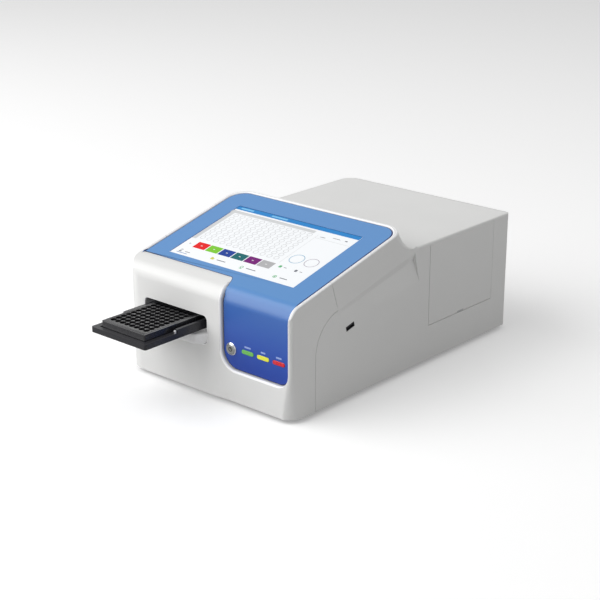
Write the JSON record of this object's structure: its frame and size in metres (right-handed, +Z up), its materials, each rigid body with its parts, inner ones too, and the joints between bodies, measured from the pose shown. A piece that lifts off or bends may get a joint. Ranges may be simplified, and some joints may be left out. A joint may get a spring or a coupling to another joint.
{
  "type": "microplate reader",
  "caption": "Bench-top microplate reader with a sloped touch screen, a motorised plate tray in front, an access door at the side and internal optics.",
  "frame": {"origin": "on the bench, under the centre of the whole object's bounding box with the tray out", "axes": "+X to the operator's right, +Y from the front face to the back, +Z up"},
  "size_m": [0.31, 0.5874, 0.2137],
  "materials": {
    "white_shell": "satin",
    "rear_paint": "satin",
    "base_paint": "satin",
    "blue_panel": "gloss",
    "screen_glass": "gloss",
    "screen_module": "satin",
    "chrome_trim": "polished",
    "green_lamp": "gloss",
    "yellow_lamp": "gloss",
    "red_lamp": "gloss",
    "black_plastic": "satin",
    "plate_black": "satin",
    "silver_support": "satin",
    "aluminium": "machined",
    "steel": "machined",
    "brass": "polished",
    "rubber": "matte",
    "grey_plastic": "satin",
    "dark_metal": "satin",
    "fibre_sleeve": "satin",
    "circuit_board": "satin",
    "port_metal": "satin",
    "lamp_ceramic": "satin",
    "lens_glass": "polished"
  },
  "bodies": {
    "housing": {"front_housing": "white_shell", "main_cover": "white_shell", "rear_panel": "rear_paint", "base_pan": "base_paint", "blue_panel": "blue_panel", "touch_glass": "screen_glass", "lcd_module": "screen_module", "power_ring": "chrome_trim", "lamp_green": "green_lamp", "lamp_yellow": "yellow_lamp", "lamp_red": "red_lamp", "side_usb_port": "black_plastic", "mains_inlet": "black_plastic", "switch_frame": "black_plastic", "power_switch": "black_plastic", "fan_frame": "black_plastic", "wheel_motor": "black_plastic", "drive_motor": "black_plastic", "rod_brackets": "aluminium", "optics_bridge": "aluminium", "optics_deck": "aluminium", "lens_mount": "aluminium", "wheel_bracket": "aluminium", "lamp_house": "aluminium", "power_supply": "aluminium", "guide_rods": "steel", "door_hinge_pins": "steel", "idler_post": "steel", "screws": "steel", "ring_nut": "steel", "board_standoffs": "steel", "inlet_pins": "brass", "rubber_feet": "rubber", "drive_belt": "rubber", "slot_liner": "grey_plastic", "read_head": "dark_metal", "fibre_bundle": "fibre_sleeve", "main_board": "circuit_board", "indicator_board": "circuit_board", "photodiode_board": "circuit_board", "rear_ports": "port_metal", "halogen_lamp": "lamp_ceramic", "condenser_lens": "lens_glass"},
    "tray": {"plate_carrier": "black_plastic", "microplate": "plate_black", "tray_pins": "steel", "tray_support": "silver_support", "tray_slide": "aluminium", "slide_bearings": "brass", "belt_clamp": "grey_plastic"},
    "drive_wheel": {"drive_pulley": "aluminium", "motor_spindle": "steel"},
    "idler_wheel": {"idler_pulley": "aluminium"},
    "filter_disc": {"filter_wheel": "aluminium", "optical_filters": "lens_glass"},
    "fan": {"fan_rotor": "black_plastic"},
    "rocker": {"rocker_switch": "black_plastic"},
    "button": {"power_button": "chrome_trim"},
    "door": {"access_door": "white_shell", "door_pull": "black_plastic"}
  },
  "joints": [
    {"name": "tray_travel", "type": "slide", "parent": "housing", "child": "tray", "axis": [0, 1, 0], "range_m": [0, 0.214]},
    {"name": "drive_pulley_turn", "type": "hinge", "parent": "housing", "child": "drive_wheel", "pos_m": [0.018, 0.12965, 0.06], "axis": [0, 0, 1], "range_deg": [-1405, 2]},
    {"name": "idler_pulley_turn", "type": "hinge", "parent": "housing", "child": "idler_wheel", "pos_m": [0.018, -0.16635, 0.06], "axis": [0, 0, 1], "range_deg": [-1405, 2]},
    {"name": "filter_wheel_turn", "type": "hinge", "parent": "housing", "child": "filter_disc", "pos_m": [0.07, 0.16665, 0.116], "axis": [0, 1, 0], "continuous": true},
    {"name": "fan_turn", "type": "hinge", "parent": "housing", "child": "fan", "pos_m": [0.092, 0.27965, 0.106], "axis": [0, 1, 0], "continuous": true},
    {"name": "rocker_tilt", "type": "hinge", "parent": "housing", "child": "rocker", "pos_m": [-0.062, 0.28965, 0.05], "axis": [1, 0, 0], "range_deg": [0, 16]},
    {"name": "power_button_press", "type": "slide", "parent": "housing", "child": "button", "axis": [0, 1, 0], "range_m": [0, 0.0015], "stiffness_N_per_m": 400},
    {"name": "access_door_swing", "type": "hinge", "parent": "housing", "child": "door", "pos_m": [0.1535, 0.17565, 0.1753], "axis": [0, -1, 0], "range_deg": [0, 80]}
  ],
  "couplings": [
    {"joint": "drive_pulley_turn", "follows": "tray_travel", "rad_per_m": -114.29},
    {"joint": "idler_pulley_turn", "follows": "tray_travel", "rad_per_m": -114.29}
  ]
}
